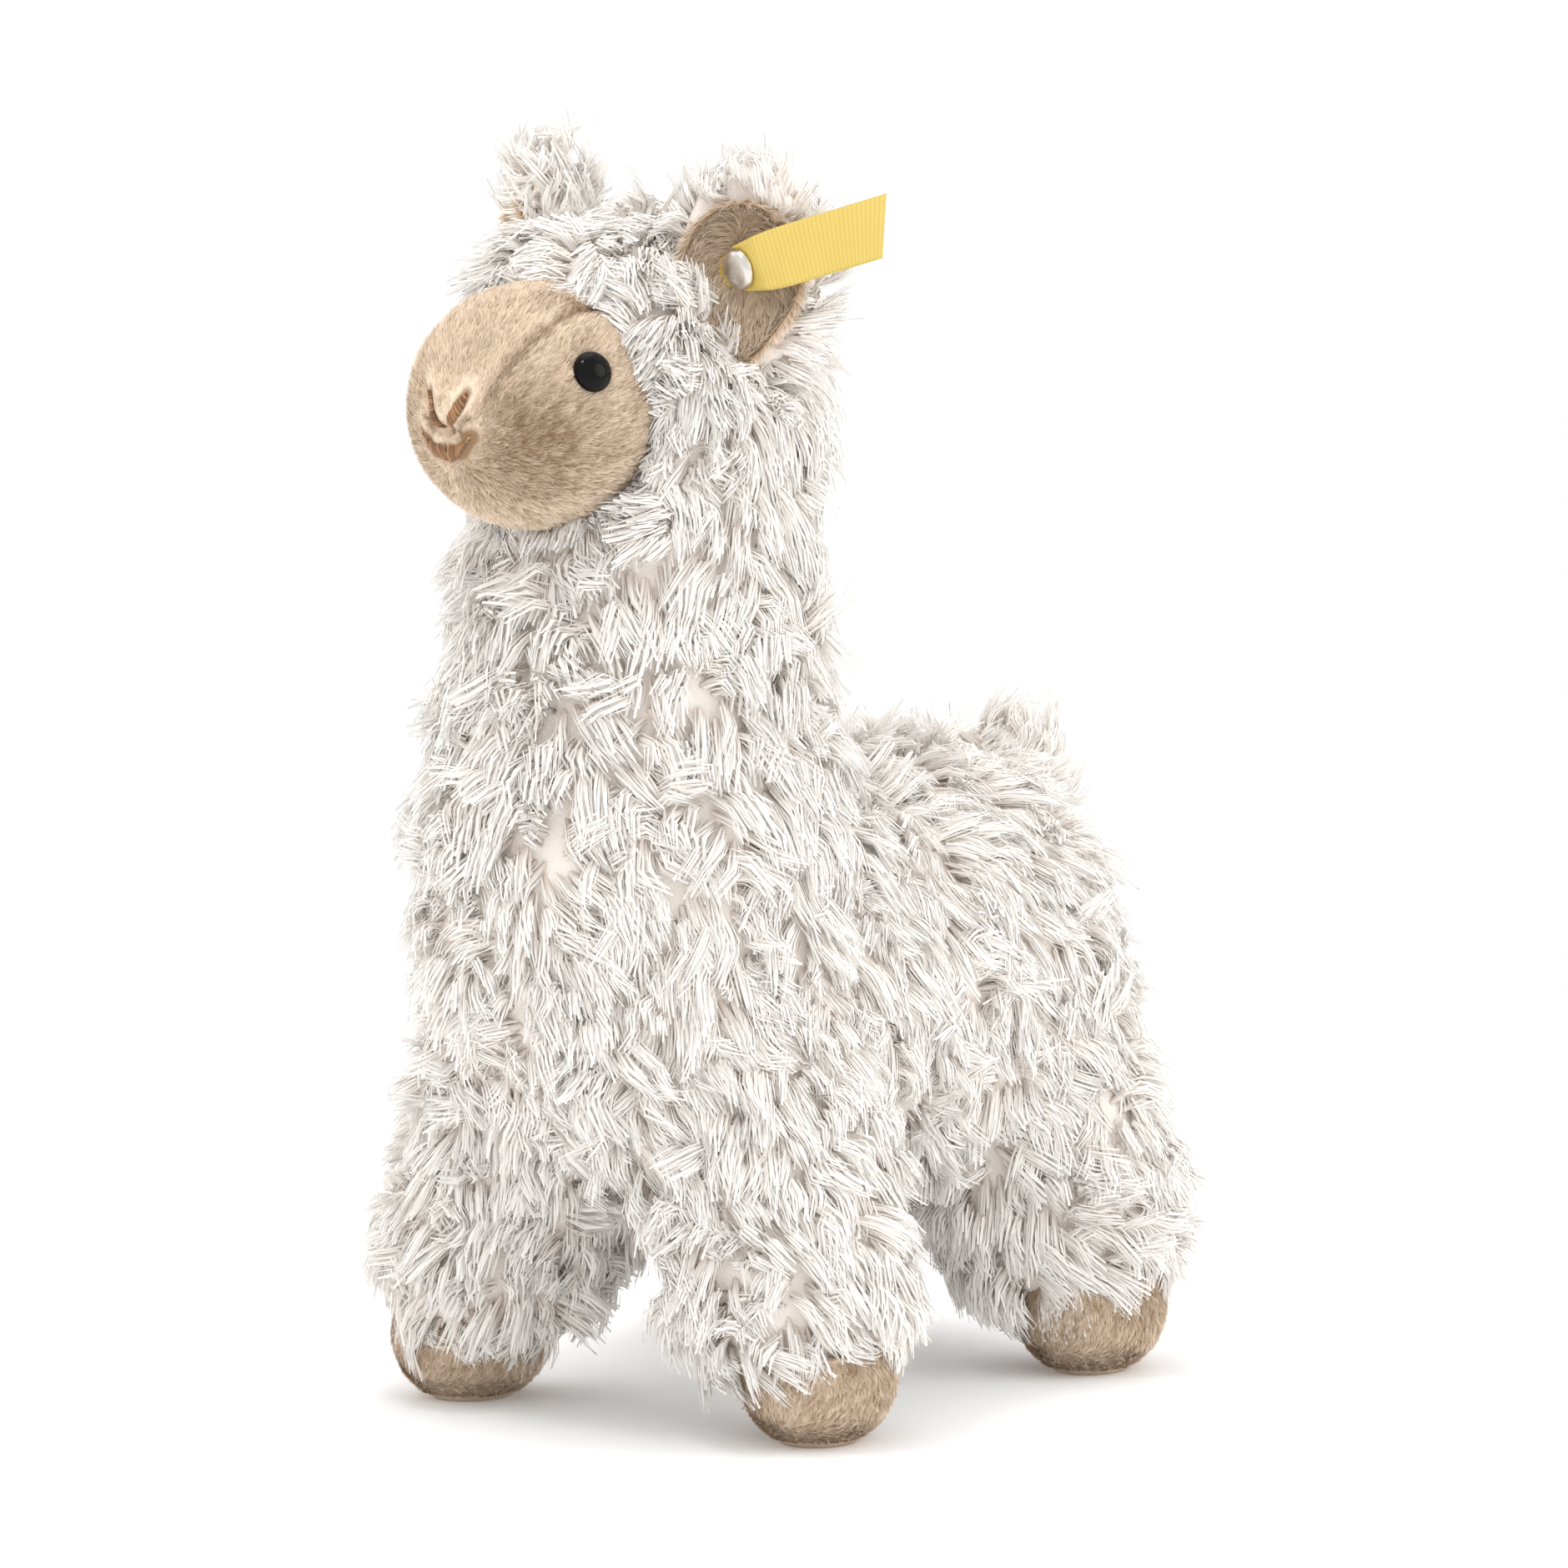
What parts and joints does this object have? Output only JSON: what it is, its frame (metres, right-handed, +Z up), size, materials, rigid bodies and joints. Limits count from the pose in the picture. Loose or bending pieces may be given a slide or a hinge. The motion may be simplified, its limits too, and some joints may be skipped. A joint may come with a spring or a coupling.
{
  "type": "plush llama",
  "caption": "Standing stuffed llama with a shaggy white cover, a short-pile sand-coloured face and feet, lined ears, black eyes and a folded ribbon tag riveted in its left ear.",
  "frame": {"origin": "on the ground, at the middle of the model's bounding box", "axes": "+Z up, the llama faces -Y, and its left side with the tagged ear is +X"},
  "size_m": [0.1274, 0.199, 0.256],
  "materials": {
    "long_pile": "matt shaggy pile, off-white tips over beige roots",
    "short_pile": "matt short velvety pile, sand beige",
    "eye_plastic": "polished black",
    "washer_plastic": "natural moulded",
    "thread": "satin stitched brown thread",
    "button_metal": "polished, slightly warm",
    "ribbon": "woven yellow ribbon, ribbed"
  },
  "bodies": {
    "root": {"stuffed_body": "long_pile", "tail": "long_pile", "ear_back_left": "long_pile", "ear_back_right": "long_pile", "ear_lining_left": "short_pile", "ear_lining_right": "short_pile", "face_gusset": "short_pile", "face_cheek_left": "short_pile", "face_cheek_right": "short_pile", "foot_front_left": "short_pile", "foot_front_right": "short_pile", "foot_hind_left": "short_pile", "foot_hind_right": "short_pile", "eye_left": "eye_plastic", "eye_right": "eye_plastic", "eye_washer_left": "washer_plastic", "eye_washer_right": "washer_plastic", "nostril_stitch_left": "thread", "nostril_stitch_right": "thread", "mouth_stitch": "thread", "ear_button": "button_metal", "ear_button_clasp": "button_metal", "ear_tag": "ribbon"}
  },
  "joints": []
}
